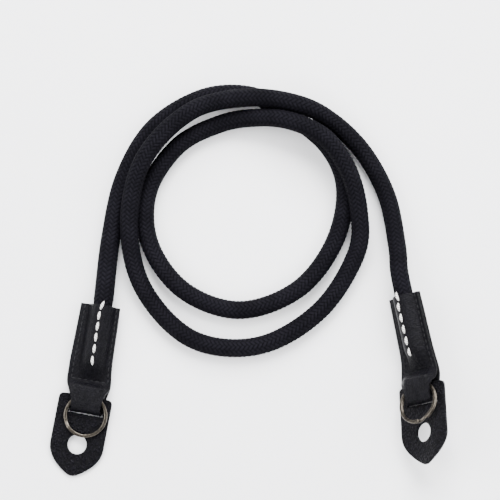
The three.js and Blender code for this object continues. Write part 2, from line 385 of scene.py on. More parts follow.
class Nodes:
    """Short calls for one node tree."""

    def __init__(self, tree):
        self.tree = tree
        self.step = 0

    def put(self, socket, value):
        """Links a socket, or sets a value."""
        if isinstance(value, bpy.types.NodeSocket):
            self.tree.links.new(value, socket)
        else:
            socket.default_value = value

    def add(self, kind, inputs=None, **settings):
        """A new node with its settings and inputs, which go by their names or numbers."""
        node = self.tree.nodes.new(kind)
        node.location = (self.step * 40, -(self.step % 7) * 160)
        self.step += 1
        for name, value in settings.items():
            setattr(node, name, value)
        for name, value in (inputs or {}).items():
            self.put(node.inputs[name], value)
        return node

    def run(self, kind, inputs=None, output=0, **settings):
        """One output of a new node."""
        return self.add(kind, inputs, **settings).outputs[output]

    def maths(self, operation, *values):
        return self.run("ShaderNodeMath", dict(enumerate(values)), operation=operation)

    def plus(self, first, second):
        return self.maths("ADD", first, second)

    def minus(self, first, second):
        return self.maths("SUBTRACT", first, second)

    def times(self, first, second):
        return self.maths("MULTIPLY", first, second)

    def mix(self, share, low, high):
        """A colour between two, which are the node's seventh and eighth inputs."""
        inputs = {0: share, 6: (*low, 1), 7: (*high, 1)}
        return self.run("ShaderNodeMix", inputs, 2, data_type="RGBA")

    def ramp(self, value, low, high, to_low=0.0, to_high=1.0):
        """A smooth change from to_low to to_high as the value goes from low to high."""
        inputs = dict(enumerate((value, low, high, to_low, to_high)))
        return self.run("ShaderNodeMapRange", inputs, interpolation_type="SMOOTHSTEP")

    def noise(self, place, scale, detail=2.0, roughness=0.5):
        inputs = {"Vector": place, "Scale": scale, "Detail": detail, "Roughness": roughness}
        return self.run("ShaderNodeTexNoise", inputs, "Fac")

    def here(self):
        """Places in the piece, in metres."""
        return self.run("ShaderNodeTexCoord", output="Object")

    def on_cut(self):
        """Places on the piece's surface, from its uv map."""
        return self.run("ShaderNodeUVMap", uv_map="cut")

    def split(self, place):
        """The first two parts of a vector."""
        node = self.add("ShaderNodeSeparateXYZ", {0: place})
        return node.outputs["X"], node.outputs["Y"]

    def store(self, shape, name, value):
        """Keeps a number on the points of a shape."""
        inputs = {"Geometry": shape, "Name": name, "Value": value}
        kind = "GeometryNodeStoreNamedAttribute"
        return self.run(kind, inputs, data_type="FLOAT", domain="POINT")

    def read(self, name, data_type="FLOAT"):
        """Reads what was kept on the points of a shape."""
        kind = "GeometryNodeInputNamedAttribute"
        return self.run(kind, {"Name": name}, "Attribute", data_type=data_type)


def shader_group(name, inputs, outputs):
    """A shader node group: its tree, its Nodes, the sockets that start it and those that end it.

    inputs give each number's default, and None for a place. outputs are the names of numbers."""
    tree = bpy.data.node_groups.new(name, "ShaderNodeTree")
    for socket, value in inputs.items():
        kind = "NodeSocketVector" if value is None else "NodeSocketFloat"
        made = tree.interface.new_socket(socket, in_out="INPUT", socket_type=kind)
        if value is not None:
            made.default_value = value
    for socket in outputs:
        tree.interface.new_socket(socket, in_out="OUTPUT", socket_type="NodeSocketFloat")
    nodes = Nodes(tree)
    return tree, nodes, nodes.add("NodeGroupInput").outputs, nodes.add("NodeGroupOutput").inputs


def shape_tree(name, numbers, counts=()):
    """A geometry tree: its tree, its Nodes, the sockets that start it and those that end it.

    Its inputs are a shape, the numbers and counts named, and a material."""
    tree = bpy.data.node_groups.new(name, "GeometryNodeTree")
    kinds = {"Geometry": "Geometry"}
    kinds.update((number, "Float") for number in numbers)
    kinds.update((count, "Int") for count in counts)
    kinds["Material"] = "Material"
    for socket, kind in kinds.items():
        tree.interface.new_socket(socket, in_out="INPUT", socket_type="NodeSocket" + kind)
    tree.interface.new_socket("Geometry", in_out="OUTPUT", socket_type="NodeSocketGeometry")
    nodes = Nodes(tree)
    return tree, nodes, nodes.add("NodeGroupInput").outputs, nodes.add("NodeGroupOutput").inputs


def finish_tree(nodes, shape, start, end):
    """Ends a geometry tree in smooth faces, real instances and the material."""
    shape = nodes.run("GeometryNodeSetShadeSmooth", {"Geometry": shape})
    shape = nodes.run("GeometryNodeRealizeInstances", {"Geometry": shape})
    painted = {"Geometry": shape, "Material": start["Material"]}
    nodes.put(end["Geometry"], nodes.run("GeometryNodeSetMaterial", painted))


def baked_object(name, seed_mesh, tree, values):
    """The plain mesh object that a geometry tree makes of a mesh, its inputs set by their names."""
    seed = bpy.data.objects.new(name + "_seed", seed_mesh)
    bpy.context.scene.collection.objects.link(seed)
    modifier = seed.modifiers.new("Shape", "NODES")
    modifier.node_group = tree
    for item in tree.interface.items_tree:
        if item.in_out == "INPUT" and item.name in values:
            modifier[item.identifier] = values[item.name]
    graph = bpy.context.evaluated_depsgraph_get()
    baked = bpy.data.meshes.new_from_object(seed.evaluated_get(graph), depsgraph=graph)
    bpy.data.objects.remove(seed)
    baked.name = name
    made = bpy.data.objects.new(name, baked)
    bpy.context.scene.collection.objects.link(made)
    return made


# Materials


def grain_group():
    """Leather grain: a height and a wear value from places on the cut, in millimetres."""
    found = bpy.data.node_groups.get("Leather grain")
    if found:
        return found
    inputs = {"Place": None, "Pebble": 1.1, "Crease": 0.5}
    tree, nodes, start, end = shader_group("Leather grain", inputs, ("Height", "Wear"))
    place = start["Place"]
    scale = nodes.maths("DIVIDE", 1.0, start["Pebble"])
    cells = nodes.run("ShaderNodeTexVoronoi", {"Vector": place, "Scale": scale}, "Distance")
    pebbles = nodes.ramp(cells, 0.75, 0.1)
    fine = nodes.noise(place, nodes.times(scale, 3.2), 3.0)
    creases = nodes.minus(nodes.noise(place, 0.42, 4.0, 0.6), 0.5)
    creases = nodes.ramp(nodes.maths("ABSOLUTE", creases), 0.0, 0.05)
    height = nodes.plus(nodes.times(pebbles, 0.6), nodes.times(fine, 0.35))
    nodes.put(end["Height"], nodes.plus(height, nodes.times(creases, start["Crease"])))
    nodes.put(end["Wear"], nodes.ramp(nodes.noise(place, 0.12, 3.0), 0.35, 0.7))
    return tree


def braid_fields(nodes, around, along):
    """Sockets of a two-over-two braid from cell numbers round and along the rope.

    They are the height, the place across the strand on top, and how far that strand rises, 1 to -1."""
    forward, backward = nodes.plus(around, along), nodes.minus(around, along)
    strands = []
    for place, other, shift in ((forward, backward, -1.0), (backward, forward, -3.0)):
        cell = nodes.maths("FLOOR", place)
        share = nodes.minus(place, cell)
        across = nodes.minus(nodes.times(share, 2.0), 1.0)
        curve = nodes.times(nodes.times(across, across), -0.9)
        curve = nodes.maths("SQRT", nodes.plus(curve, 1.0))
        phase = nodes.plus(nodes.plus(other, cell), shift)
        wave = nodes.maths("COSINE", nodes.times(phase, math.pi / 2))
        strands.append((nodes.plus(curve, nodes.times(wave, 0.55)), share, wave))
    first, second = strands
    on_top = nodes.maths("GREATER_THAN", first[0], second[0])
    chosen = []
    for low, high in zip(second[1:], first[1:]):
        chosen.append(nodes.plus(low, nodes.times(nodes.minus(high, low), on_top)))
    return nodes.maths("MAXIMUM", first[0], second[0]), chosen[0], chosen[1]


def braid_group():
    """The braid's yarns: height and painted shading from the place round and along the rope, in cells."""
    found = bpy.data.node_groups.get("Braid yarns")
    if found:
        return found
    inputs = {"Round": 0, "Along": 0, "Yarns": 3}
    tree, nodes, start, end = shader_group("Braid yarns", inputs, ("Height", "Painted shading"))
    _, across, wave = braid_fields(nodes, start["Round"], start["Along"])
    lines = nodes.times(nodes.times(across, start["Yarns"]), math.tau)
    yarns = nodes.times(nodes.minus(1.0, nodes.maths("COSINE", lines)), 0.5)
    rounded = nodes.ramp(nodes.maths("ABSOLUTE", nodes.minus(across, 0.5)), 0.5, 0.28)
    rising = nodes.ramp(wave, -0.6, 0.8, 0.15, 1.0)
    height = nodes.plus(nodes.times(yarns, 0.35), rounded)
    nodes.put(end["Height"], nodes.plus(height, nodes.times(rising, 0.6)))
    # The colour is painted shade: darker at each strand's edges, between its yarns and where it dips under
    # another.
    shaded_tone = nodes.times(nodes.plus(nodes.times(yarns, 0.4), 0.6), rounded)
    nodes.put(end["Painted shading"], nodes.times(shaded_tone, rising))
    return tree


def new_material(name, specular=0.5):
    """A material, its Nodes and its shader."""
    material = bpy.data.materials.new(name)
    material.use_nodes = True
    material.node_tree.nodes.clear()
    nodes = Nodes(material.node_tree)
    shader = nodes.add("ShaderNodeBsdfPrincipled", {"Specular IOR Level": specular})
    nodes.add("ShaderNodeOutputMaterial", {"Surface": shader.outputs["BSDF"]})
    return material, nodes, shader


def finish_shader(nodes, shader, colour, roughness, height=None, relief=0.0, strength=1.0):
    """Links a shader's colour and roughness, and a bump of a height in metres."""
    nodes.put(shader.inputs["Base Color"], colour)
    nodes.put(shader.inputs["Roughness"], roughness)
    if height is not None:
        bump = {"Height": height, "Distance": relief, "Strength": strength}
        nodes.put(shader.inputs["Normal"], nodes.run("ShaderNodeBump", bump))


def rope_material(dark, light):
    material, nodes, shader = new_material("Rope cover", specular=0.022)
    around, along = nodes.split(nodes.on_cut())
    braid = {"Round": around, "Along": along}
    braid = nodes.add("ShaderNodeGroup", braid, node_tree=braid_group()).outputs
    here = nodes.here()
    fuzz = nodes.noise(here, 2600.0)
    patches = nodes.ramp(nodes.noise(here, 60.0), 0.35, 0.65)
    # Painted shade of the braid, times random darker patches.
    shaded_tone = nodes.times(braid["Painted shading"], nodes.plus(0.75, nodes.times(patches, 0.4)))
    rough = nodes.ramp(fuzz, 0.2, 0.8, 0.6, 0.8)
    height = nodes.plus(braid["Height"], nodes.times(fuzz, 0.3))
    finish_shader(nodes, shader, nodes.mix(shaded_tone, dark, light), rough, height, 0.00022)
    return material


def leather_material(name, dark, light, pebble, crease, relief, roughness):
    """Grained leather. pebble is the size of its grain in millimetres, relief its height in metres."""
    material, nodes, shader = new_material(name, specular=0.05)
    grain = {"Place": nodes.on_cut(), "Pebble": pebble, "Crease": crease}
    grain = nodes.add("ShaderNodeGroup", grain, node_tree=grain_group()).outputs
    # Painted shade: the grain's low places, between pebbles and in creases, are darker. Wear adds random
    # darker patches.
    painted_grain_shade = nodes.ramp(grain["Height"], 0.15, 0.95, 0.25, 1.0)
    grain_shade_and_wear = nodes.times(painted_grain_shade, nodes.ramp(grain["Wear"], 0, 1, 0.7, 1.0))
    rough = nodes.ramp(grain["Height"], 0.2, 1.1, roughness + 0.12, roughness)
    finish_shader(nodes, shader, nodes.mix(grain_shade_and_wear, dark, light), rough, grain["Height"], relief)
    return material


# Cut edge grey, partly the leather's own cut edge and partly a painted highlight: it is lightened and goes
# only on the slit's lower wall, which shows under the loop.
def lit_cut_edge_material():
    material, nodes, shader = new_material("Cut leather edge, painted highlight", specular=0.1)
    fibres = nodes.noise(nodes.here(), 1400.0, 3.0)
    colour = nodes.mix(fibres, (0.09, 0.09, 0.1), (0.2, 0.2, 0.21))
    finish_shader(nodes, shader, colour, nodes.ramp(fibres, 0.3, 0.7, 0.8, 0.95))
    return material


def metal_material(dark, light):
    material, nodes, shader = new_material("Aged ring metal")
    nodes.put(shader.inputs["Metallic"], 1.0)
    here = nodes.here()
    stain = nodes.ramp(nodes.noise(here, 900.0, 4.0, 0.6), 0.3, 0.7)
    scratches = nodes.noise(here, 3500.0, 3.0)
    rough = nodes.ramp(scratches, 0.3, 0.7, 0.22, 0.36)
    finish_shader(nodes, shader, nodes.mix(stain, dark, light), rough, scratches, 0.00003, 0.5)
    return material


def thread_material(name, dark, light):
    material, nodes, shader = new_material(name, specular=0.2)
    around, along = nodes.split(nodes.on_cut())
    # The twist's grooves are painted darker as shade, and its ridges lighter.
    slant = nodes.plus(nodes.times(around, 2.0), nodes.times(along, 5.0))
    twist = nodes.maths("SINE", nodes.times(slant, math.tau))
    twist = nodes.plus(nodes.times(twist, 0.5), 0.5)
    rough = nodes.ramp(twist, 0, 1, 0.7, 0.5)
    finish_shader(nodes, shader, nodes.mix(twist, dark, light), rough, twist, 0.00012, 0.7)
    return material


def paper_material():
    material, nodes, shader = new_material("White table")
    mottle = nodes.noise(nodes.here(), 14.0, 3.0)
    colour = nodes.mix(mottle, (0.88, 0.88, 0.9), (0.92, 0.92, 0.94))
    finish_shader(nodes, shader, colour, nodes.ramp(mottle, 0.3, 0.7, 0.55, 0.65))
    return material


# The rope


def rope_line(step):
    """Points in millimetres along the rope's centre line, step apart, and its length."""
    route = np.array(ROPE_ROUTE, float)
    ends = (2 * route[0] - route[1], 2 * route[-1] - route[-2])
    knots = np.vstack((ends[0], route, ends[1]))
    share = np.linspace(0, 1, STRETCH_POINTS, endpoint=False)[:, None]
    pieces = []
    for before, here, after, beyond in zip(knots, knots[1:], knots[2:], knots[3:]):
        slope, next_slope = (after - before) / 2, (beyond - here) / 2
        cubic = 2 * here - 2 * after + slope + next_slope
        square = 3 * after - 3 * here - 2 * slope - next_slope
        pieces.append(((cubic * share + square) * share + slope) * share + here)
    dense = np.vstack(pieces + [route[-1:]])
    travelled = np.concatenate(([0], np.cumsum(np.linalg.norm(np.diff(dense, axis=0), axis=1))))
    count = int(round(travelled[-1] / step)) + 1
    even = np.linspace(0, travelled[-1], count)
    line = np.stack([np.interp(even, travelled, dense[:, axis]) for axis in range(3)], 1)
    return line, even, travelled[-1]


def rope_tree():
    """A tree that sweeps a tube along a line and braids its surface."""
    tree, nodes, start, end = shape_tree(
        "Braided tube", ("Radius", "Strands", "Pick", "Relief"), ("Rings", "Sides")
    )
    line = nodes.run("GeometryNodeMeshToCurve", {"Mesh": start["Geometry"]})
    line = nodes.run("GeometryNodeResampleCurve", {"Curve": line, "Count": start["Rings"]})
    line = nodes.store(line, "along", nodes.run("GeometryNodeSplineParameter", output="Length"))
    circle = {"Resolution": start["Sides"], "Radius": start["Radius"]}
    circle = nodes.run("GeometryNodeCurvePrimitiveCircle", circle)
    circle = nodes.store(circle, "round", nodes.run("GeometryNodeSplineParameter", output="Factor"))
    tube = {"Curve": line, "Profile Curve": circle, "Fill Caps": True}
    tube = nodes.run("GeometryNodeCurveToMesh", tube)
    around = nodes.times(nodes.read("round"), start["Strands"])
    along = nodes.maths("DIVIDE", nodes.read("along"), start["Pick"])
    height, _, _ = braid_fields(nodes, around, along)
    height = nodes.times(nodes.minus(height, 1.1), start["Relief"])
    height = nodes.plus(height, nodes.read("swell"))
    push = {0: nodes.run("GeometryNodeInputNormal"), "Scale": height}
    push = nodes.run("ShaderNodeVectorMath", push, operation="SCALE")
    tube = nodes.run("GeometryNodeSetPosition", {"Geometry": tube, "Offset": push})
    finish_tree(nodes, tube, start, end)
    return tree


def tube_uv(mesh, sides, across, along):
    """Corner uv of a swept tube whose points run ring by ring. The last face of a ring closes it."""
    corners = np.zeros(len(mesh.loops), np.int32)
    mesh.loops.foreach_get("vertex_index", corners)
    starts = np.zeros(len(mesh.polygons), np.int32)
    mesh.polygons.foreach_get("loop_start", starts)
    face_of = np.searchsorted(starts, np.arange(len(corners)), side="right") - 1
    side = corners % sides
    highest = np.zeros(len(starts), np.int32)
    np.maximum.at(highest, face_of, side)
    quad = np.diff(np.append(starts, len(corners))) == 4
    closing = (highest[face_of] == sides - 1) & (side == 0) & quad[face_of]
    return np.stack(((side + sides * closing) / sides * across, along[corners // sides]), 1)


def rope_swell(along, length):
    """How much thicker the rope is along its length: a little uneven, and fuller past its first end."""
    uneven, everywhere, most = 0.04, 0.12, 0.5
    begins, full, fades = 26, 32, 60
    knots = np.random.default_rng(7).normal(0, uneven, SWELL_KNOTS)
    swell = np.interp(along, np.linspace(0, length, SWELL_KNOTS), knots) + everywhere
    past_full = np.maximum(along - full, 0)
    return swell + most * smoothstep(along, begins, full) * np.exp(-((past_full / fades) ** 2))


class STRAP_OT_rope(bpy.types.Operator):
    """Make the braided rope along its route"""

    bl_idname = "strap.make_rope"
    bl_label = "Make Rope"

    def execute(self, context):
        sizes = context.scene.strap_rope
        line, along, length = rope_line(ROPE_SPACING)
        swell = rope_swell(along, length)
        mesh = bpy.data.meshes.new("rope_line")
        edges = [(k, k + 1) for k in range(len(line) - 1)]
        mesh.from_pydata((line * MM).tolist(), edges, [])
        mesh.attributes.new("swell", "FLOAT", "POINT").data.foreach_set("value", swell * MM)
        values = {
            "Radius": sizes.diameter / 2 - 0.12 * MM,
            "Strands": float(sizes.strands),
            "Pick": sizes.pick,
            "Relief": sizes.relief,
            "Rings": len(line),
            "Sides": ROPE_SIDES,
            "Material": rope_material(sizes.dark, sizes.light),
        }
        rope = baked_object("rope_cover", mesh, rope_tree(), values)
        picks = along / (sizes.pick / MM)
        give_corner_uv(rope.data, tube_uv(rope.data, ROPE_SIDES, sizes.strands, picks))
        turn_faces_outward(rope)
        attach(rope, "strap")
        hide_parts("rope")
        return {"FINISHED"}


# The sleeves


def section_values(distance, slack):
    """The table of sections, read at distances from the mouth."""
    table = np.array(SLEEVE_SECTIONS, float)
    values = {}
    for column, name in enumerate(SECTION_COLUMNS[1:], 1):
        values[name] = np.interp(distance, table[:, 0], table[:, column])
    values["lift"] = values["lift"] * slack
    values["edge_lift"] = values["edge_lift"] * slack
    return values


def across_profile():
    """One section across the upper layer over the rope: x, and height above the flat layer's middle.

    It follows the rope down to SIDE_ANGLE, runs on straight, and turns out into the margin."""
    side = math.radians(SIDE_ANGLE)
    axis = np.array((0, ROPE_AXIS - LAYER / 2))
    leave = axis + ARCH_RADIUS * np.array((math.cos(side), math.sin(side)))
    down = np.array((math.sin(side), -math.cos(side)))
    turn_length = TURN_RADIUS * math.tan((math.pi / 2 - side) / 2)
    foot = leave + down * leave[1] / math.cos(side)
    bend_start = foot - down * turn_length
    centre = np.array((foot[0] + turn_length, TURN_RADIUS))
    turn = np.linspace(math.pi + side, 1.5 * math.pi, 7)
    bend = centre + TURN_RADIUS * np.stack((np.cos(turn), np.sin(turn)), 1)
    wall = leave + (bend_start - leave) * np.linspace(0, 1, 4)[1:-1, None]
    angle = np.radians(np.linspace(90, SIDE_ANGLE, 14))
    arch = np.stack((np.cos(angle), np.sin(angle)), 1) * ARCH_RADIUS + axis
    half = np.vstack((arch, wall, bend))
    mirrored = half[:0:-1] * (-1, 1)
    return np.vstack((mirrored, half))


def strip_rows():
    """Rows of the sleeve's strip of leather: distance from the mouth, and layer.

    layer is -1 on the under layer, 1 on the upper one, and between them round the fold."""
    rows = [(distance, -1.0) for distance in np.linspace(0, UNDER_LAYER_END, 74)]
    for degrees in np.linspace(-80, 80, 13):
        angle = math.radians(degrees)
        rows.append((FOLD - LAYER / 2 - FOLD_RADIUS * (1 - math.cos(angle)), math.sin(angle)))
    rows += [(distance, 1.0) for distance in np.linspace(UNDER_LAYER_END, 0, 150)]
    return np.array(rows)


def creases(x, distance, seed):
    """Small wrinkles of the upper layer past the rope's end, in millimetres."""
    line_height, star_height, star_arms = 0.05, 0.12, 5
    past = smoothstep(distance, 28, 35) * (1 - smoothstep(distance, 41.5, 44))
    lines = np.sin(0.9 * x + 1.9 * distance + seed) * np.exp(-((x + 1) / 7) ** 2)
    aside, beyond = x - 0.5, distance - 38.5
    star = np.cos(star_arms * np.arctan2(beyond, aside) + seed)
    dent = np.exp(-((beyond / 3.2) ** 2 + (aside / 6) ** 2))
    return past * line_height * lines + star_height * dent * star


def groove(x, distance, crease):
    """Depth of a soft groove along a straight line from one place to another."""
    x_start, from_start, x_stop, from_stop, depth, width = crease
    along = np.array((x_stop - x_start, from_stop - from_start))
    length = np.linalg.norm(along)
    along = along / length
    run = (x - x_start) * along[0] + (distance - from_start) * along[1]
    aside = (x - x_start) * along[1] - (distance - from_start) * along[0]
    fade = 1.5
    share = smoothstep(run, -fade, fade) * (1 - smoothstep(run, length - fade, length + fade))
    return depth * share * np.exp(-((aside / width) ** 2))


def sleeve_surface(end, seed):
    """Middle surface of the strip, as a grid of points in the end frame."""
    rows = strip_rows()
    distance, layer = rows[:, 0], rows[:, 1]
    values = section_values(distance, end["slack"])
    profile = across_profile()
    share = np.linspace(0, 1, MARGIN_COLUMNS + 1)[:-1]
    upper = np.clip(layer, 0, 1)
    inset = LIFT_INSET * values["edge_lift"] * upper
    left, right = values["left"] - inset, values["right"] - inset
    least_margin = 0.8
    narrow = np.minimum(1, (np.minimum(left, right) - least_margin) / profile[-1, 0])[:, None]
    inner_left, inner_right = profile[0, 0] * narrow, profile[-1, 0] * narrow
    margin_left = -left[:, None] * (1 - share) + inner_left * share
    margin_right = inner_right * share[::-1] + right[:, None] * (1 - share[::-1])
    x = np.hstack((margin_left, profile[None, :, 0] * narrow, margin_right))
    bump = np.concatenate((np.zeros(MARGIN_COLUMNS), profile[:, 1], np.zeros(MARGIN_COLUMNS)))
    edge_share = smoothstep(np.abs(x), FLAT_TOP - 1.5, np.where(x < 0, left[:, None], right[:, None]))
    lift = values["lift"][:, None] * (1 - edge_share) + values["edge_lift"][:, None] * edge_share
    arch = values["arch"][:, None]
    seam_gap = 0.03
    top = LAYER / 2 + seam_gap + arch * bump[None, :] + lift
    belly_depth = ARCH_RADIUS + LAYER / 2 - ROPE_AXIS - LAYER
    belly = np.sqrt(np.clip(1 - (x / BELLY_RADIUS) ** 2, 0, 1)) * belly_depth * arch
    bottom = -LAYER / 2 - seam_gap - belly
    blend = ((layer + 1) / 2)[:, None]
    z = bottom * (1 - blend) + top * blend
    wrinkles = creases(x, distance[:, None], seed) * upper[:, None]
    if "crease" in end:
        wrinkles = wrinkles - groove(x, distance[:, None], end["crease"]) * upper[:, None]
    sway_height, sway_rate = 0.18, 0.21
    sway = sway_height * np.sin(sway_rate * distance[:, None] + seed)
    sway = sway * (x > 0) * upper[:, None] * (1 - arch)
    z = z + wrinkles + sway
    y = np.broadcast_to(-distance[:, None], x.shape)
    return np.stack((x, y, z), -1)


def thicken(grid, thickness, rim):
    """A closed sheet round a middle surface: points and faces. rim is how thin its border is."""
    down = np.gradient(grid, axis=0)
    over = np.gradient(grid, axis=1)
    normals = np.cross(over, down)
    normals /= np.linalg.norm(normals, axis=2)[..., None]
    rows, columns = grid.shape[:2]
    border = np.full((rows, columns), 1.0)
    border[[0, -1], :] = rim
    border[:, [0, -1]] = rim
    offset = normals * (thickness / 2 * border)[..., None]
    faces_up = grid_faces(rows, columns, wrap=False)
    count = rows * columns
    points = np.concatenate(((grid + offset).reshape(-1, 3), (grid - offset).reshape(-1, 3)))
    faces_down = faces_up[:, ::-1] + count
    ring = list(range(columns))
    ring += [row * columns + columns - 1 for row in range(1, rows)]
    ring += [(rows - 1) * columns + k for k in range(columns - 2, -1, -1)]
    ring += [row * columns for row in range(rows - 2, 0, -1)]
    side = [(a, a + count, b + count, b) for a, b in zip(ring, ring[1:] + ring[:1])]
    return points, faces_up.tolist() + faces_down.tolist() + side


def vertex_uv(faces, places):
    """Corner uv of faces, from one place for each point."""
    return np.concatenate([places[list(face)] for face in faces])


def cut_places(grid):
    """The place on the cut of each point of a thickened grid. Its two faces are apart on the cut."""
    steps = np.linalg.norm(np.diff(grid, axis=0), axis=2).mean(1)
    along = np.concatenate(([0], np.cumsum(steps)))[:, None]
    place = np.stack((grid[..., 0], np.broadcast_to(along, grid.shape[:2])), -1).reshape(-1, 2)
    other_face = (40, 0)
    return np.concatenate((place, place + other_face))


class STRAP_OT_sleeves(bpy.types.Operator):
    """Make the two folded leather sleeves"""

    bl_idname = "strap.make_sleeves"
    bl_label = "Make Sleeves"

    def execute(self, context):
        sizes = context.scene.strap_leather
        look = {"pebble": 0.7, "crease": 0.16, "relief": 0.00032, "roughness": 0.27}
        material = leather_material("Sleeve leather", sizes.sleeve_dark, sizes.sleeve_light, **look)
        for number, (side, end) in enumerate(ENDS.items()):
            grid = sleeve_surface(end, sizes.seed + 2.1 * number)
            points, faces = thicken(grid, sizes.layer / MM, rim=0.72)
            uv = vertex_uv(faces, cut_places(grid))
            laid = lay_down(points, end)
            sleeve = make_object(f"{side}_sleeve_leather", laid, faces, material, uv)
            turn_faces_outward(sleeve)
            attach(sleeve, "strap")
            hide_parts(f"{side}_sleeve")
        return {"FINISHED"}


# The flaps


def curve_points(start, first, second, stop, count):
    """Points of a curve that two outer points bend, without the last one."""
    share = np.linspace(0, 1, count, endpoint=False)[:, None]
    start, first, second, stop = (np.array(p, float) for p in (start, first, second, stop))
    rest = 1 - share
    near_start = rest**3 * start + 3 * rest**2 * share * first
    return near_start + 3 * rest * share**2 * second + share**3 * stop


def straight(start, stop, count):
    """Points of a straight line, without the last one."""
    share = np.linspace(0, 1, count, endpoint=False)[:, None]
    return np.array(start, float) * (1 - share) + np.array(stop, float) * share


def rounded_corner(start, corner, stop, count):
    """Points of a round corner, without the last one."""
    start, corner, stop = (np.array(p, float) for p in (start, corner, stop))
    first, second = start + (corner - start) * 2 / 3, stop + (corner - stop) * 2 / 3
    return curve_points(start, first, second, stop, count)


def flap_outline():
    """The flap's outline, anticlockwise, as points of the flat flap."""
    half, corner = FLAP_WIDTH / 2, 3.0
    top, shoulder, tip = -FLAP_TOP, -SHOULDER, -FLAP_TIP
    nose, nose_y, cheek_y, jaw_y = 2.2, tip + 0.7, tip + 3.4, shoulder - 8
    parts = [
        rounded_corner((-half + corner, top), (-half, top), (-half, top - corner), 8),
        straight((-half, top - corner), (-half, shoulder), 26),
        curve_points((-half, shoulder), (-half, jaw_y), (-half / 2, cheek_y), (-nose, nose_y), 26),
        rounded_corner((-nose, nose_y), (0, tip - 0.2), (nose, nose_y), 8),
        curve_points((nose, nose_y), (half / 2, cheek_y), (half, jaw_y), (half, shoulder), 26),
        straight((half, shoulder), (half, top - corner), 26),
        rounded_corner((half, top - corner), (half, top), (half - corner, top), 8),
        straight((half - corner, top), (-half + corner, top), 24),
    ]
    return np.vstack(parts)


def slit_outline(flap):
    """The slit's outline, with play at its sides and a gap under the loop."""
    play, gap = 1.0, 0.3
    last = SLEEVE_SECTIONS[-1]
    left, right = -last[1] - play - flap["x"], last[2] + play - flap["x"]
    top, bottom = -(FOLD - LAYER - gap) - flap["shift"], -SLIT_BOTTOM - flap["shift"]
    corners = [(left, top), (left, bottom), (right, bottom), (right, top)]
    parts = []
    for here, there in zip(corners, corners[1:] + corners[:1]):
        parts.append(straight(here, there, 22 if here[1] == there[1] else 3))
    return np.vstack(parts)


def hole_outline():
    """The round hole's outline."""
    angle = np.linspace(0, math.tau, HOLE_POINTS, endpoint=False)
    return np.stack((np.cos(angle), np.sin(angle)), 1) * HOLE_DIAMETER / 2 + (0, -HOLE_CENTRE)


def inside(points, loop):
    """Which points lie inside a closed loop."""
    x, y = points[:, :1], points[:, 1:]
    ax, ay = loop[:, 0], loop[:, 1]
    bx, by = np.roll(ax, -1), np.roll(ay, -1)
    crosses = (ay > y) != (by > y)
    rise = np.where(by == ay, 1e-9, by - ay)
    at = ax + (y - ay) * (bx - ax) / rise
    return (crosses & (x < at)).sum(1) % 2 == 1


def offset_loop(loop, distance):
    """A closed loop moved to its left by a distance."""
    along = np.roll(loop, -1, 0) - np.roll(loop, 1, 0)
    along /= np.linalg.norm(along, axis=1)[:, None]
    return loop + np.stack((-along[:, 1], along[:, 0]), 1) * distance


def points_inside(outline, loops, spacing):
    """Points of a square grid over the outline, inside the first loop and outside the others."""
    low, high = outline.min(0), outline.max(0)
    columns = np.arange(low[0], high[0], spacing)
    rows = np.arange(low[1], high[1], spacing)
    free = np.stack(np.meshgrid(columns, rows), -1).reshape(-1, 2)
    room = spacing * 0.55
    keep = inside(free, offset_loop(loops[0], room))
    for loop in loops[1:]:
        keep &= ~inside(free, offset_loop(loop, -room))
    return free[keep]


def fill_loops(loops, free):
    """Spots and triangles that fill the first loop round the others, by way of the free points."""
    edges, start = [], 0
    for loop in loops:
        count = len(loop)
        edges += [(start + k, start + (k + 1) % count) for k in range(count)]
        start += count
    flat = np.vstack(loops + [free]).tolist()
    found = delaunay_2d_cdt([Vector(spot) for spot in flat], edges, [], 0, 1e-6)
    spots = np.array([tuple(spot) for spot in found[0]])
    triangles = np.array(found[2])
    middle = spots[triangles].mean(1)
    solid = inside(middle, loops[0])
    for loop in loops[1:]:
        solid &= ~inside(middle, loop)
    return spots, triangles[solid]


def plate(outline, holes, thickness, spacing):
    """A flat plate with holes and bevelled edges: points and faces."""
    inner = [offset_loop(outline, BEVEL)] + [offset_loop(hole, -BEVEL) for hole in holes]
    spots, triangles = fill_loops(inner, points_inside(outline, inner, spacing))
    count = len(spots)
    half = thickness / 2
    levels = [np.column_stack((spots, np.full(count, level))) for level in (half, -half)]
    faces = triangles.tolist() + (triangles[:, ::-1] + count).tolist()
    start = 0
    next_point = 2 * count
    for loop, full in zip(inner, [outline] + holes):
        number = len(loop)
        for level in (half - BEVEL, BEVEL - half):
            levels.append(np.column_stack((full, np.full(number, level))))
        upper, lower = next_point, next_point + number
        for k in range(number):
            following = (k + 1) % number
            faces.append((start + k, upper + k, upper + following, start + following))
            faces.append((upper + k, lower + k, lower + following, upper + following))
            faces.append((lower + k, count + start + k, count + start + following, lower + following))
        start += number
        next_point += 2 * number
    return np.vstack(levels), faces


def slit_wall(points, faces, flap):
    """Which faces are the slit's lower cut wall, the one that shows under the loop and is painted lighter
    as a highlight.
    """
    middles = np.array([points[list(face)].mean(0) for face in faces])
    half_width, reach = 9.6, 0.25
    below_edge = middles[:, 1] + SLIT_BOTTOM + flap["shift"] + BEVEL / 2
    found = (np.abs(below_edge) < reach) & (np.abs(middles[:, 0] - flap["x"]) < half_width)
    return found & np.array([len(face) == 4 for face in faces])


